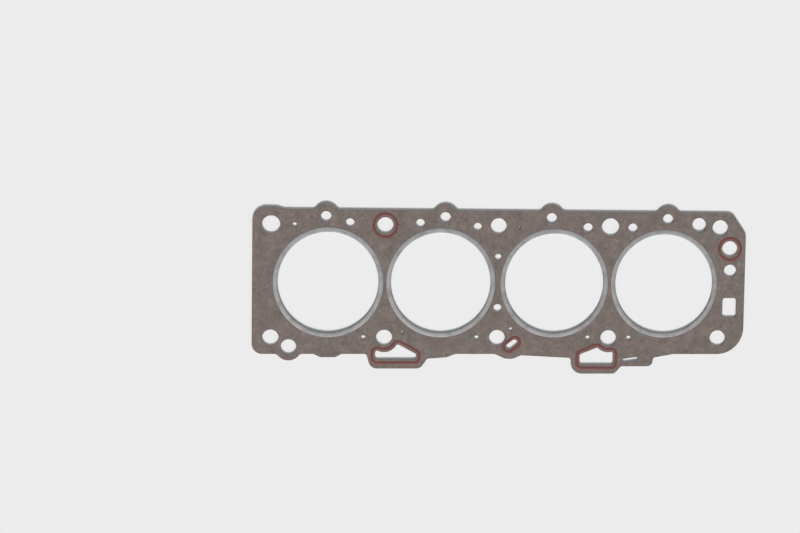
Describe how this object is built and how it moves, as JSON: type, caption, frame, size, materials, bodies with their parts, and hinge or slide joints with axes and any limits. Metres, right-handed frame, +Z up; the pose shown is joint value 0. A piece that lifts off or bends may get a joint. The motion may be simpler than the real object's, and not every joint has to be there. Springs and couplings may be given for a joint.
{
  "type": "cylinder head gasket",
  "caption": "Flat composite head gasket for an in-line four: grey-brown sheet with four bores edged by folded steel fire rings, bolt and coolant holes, and red printed beads.",
  "frame": {"origin": "on the plane that the gasket lies on, under the centre of its bounding box", "axes": "+X along the row of cylinders, towards the chamfered end, +Y across the row, towards the edge with the four tabs, +Z up through the thickness"},
  "size_m": [0.46, 0.1568, 0.0021],
  "materials": {
    "facing": "matt graphite-grey fibre facing, faintly mottled",
    "carrier_steel": "cold-rolled sheet",
    "ring_steel": "dull satin, tin-plated",
    "bead_silicone": "matt terracotta silicone"
  },
  "bodies": {
    "root": {"lower_facing": "facing", "carrier_plate": "carrier_steel", "upper_facing": "facing", "fire_ring_1": "ring_steel", "fire_ring_2": "ring_steel", "fire_ring_3": "ring_steel", "fire_ring_4": "ring_steel", "upper_bead_feed_bolt": "bead_silicone", "lower_bead_feed_bolt": "bead_silicone", "upper_bead_oil_gallery": "bead_silicone", "lower_bead_oil_gallery": "bead_silicone", "upper_bead_front_window": "bead_silicone", "lower_bead_front_window": "bead_silicone", "upper_bead_rear_window": "bead_silicone", "lower_bead_rear_window": "bead_silicone", "upper_bead_slanted_slot": "bead_silicone", "lower_bead_slanted_slot": "bead_silicone"}
  },
  "joints": []
}
